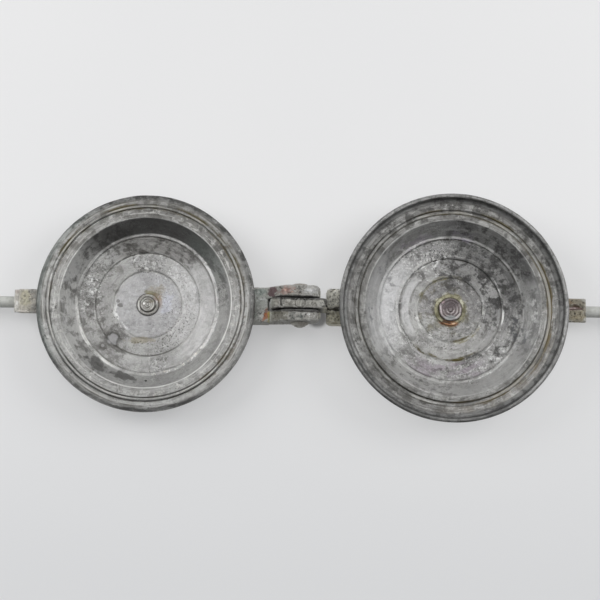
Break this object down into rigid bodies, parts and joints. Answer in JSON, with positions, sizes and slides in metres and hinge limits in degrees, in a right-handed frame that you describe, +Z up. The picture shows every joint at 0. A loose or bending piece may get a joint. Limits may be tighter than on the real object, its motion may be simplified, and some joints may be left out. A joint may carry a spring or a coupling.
{
  "type": "pie iron",
  "caption": "Hinged round pie iron lying open: pressed aluminium dishes on cast arms with steel rods, wooden grips and a wire latch bail.",
  "frame": {"origin": "on the table, at the middle of the whole object's box; the hinge pin's axis is at x = 9.6 mm, because the latch bail reaches past the butt of grip A", "axes": "+X along the open iron from half A to half B, +Y along the hinge pin from its domed head to its peened end, +Z up out of the dishes"},
  "size_m": [0.7412, 0.127, 0.0302],
  "materials": {
    "pressed_aluminium": "dull, oxidised and scratched",
    "cast_iron": "rough casting with traces of rust",
    "hinge_steel": "worn and lightly rusted",
    "rivet_steel": "worn",
    "rusty_washer": "rusted",
    "plated_rod": "dull grey plating",
    "ferrule_steel": "dull plated",
    "turned_wood": "worn varnish",
    "bail_wire": "dull plated"
  },
  "bodies": {
    "half_a": {"dish_a": "pressed_aluminium", "arm_a": "cast_iron", "hinge_pin": "hinge_steel", "centre_rivet_a": "rivet_steel", "rivet_washer_a": "rivet_steel", "rivet_burr_a": "rivet_steel", "handle_rod_a": "plated_rod", "rod_pin_a": "hinge_steel", "ferrule_a": "ferrule_steel", "grip_a": "turned_wood", "butt_washer_a": "ferrule_steel"},
    "half_b": {"dish_b": "pressed_aluminium", "arm_b": "cast_iron", "centre_rivet_b": "rivet_steel", "rivet_washer_b": "rusty_washer", "rivet_burr_b": "rivet_steel", "handle_rod_b": "plated_rod", "rod_pin_b": "hinge_steel", "ferrule_b": "ferrule_steel", "grip_b": "turned_wood", "butt_washer_b": "ferrule_steel"},
    "bail": {"latch_bail": "bail_wire"}
  },
  "joints": [
    {"name": "main_hinge", "type": "hinge", "parent": "half_a", "child": "half_b", "pos_m": [0.00961, 0, 0.02165], "axis": [0, -1, 0], "range_deg": [0, 180]},
    {"name": "bail_swing", "type": "hinge", "parent": "half_a", "child": "bail", "pos_m": [-0.33639, 0, 0.0105], "axis": [0, 1, 0], "range_deg": [0, 105.73]}
  ]
}
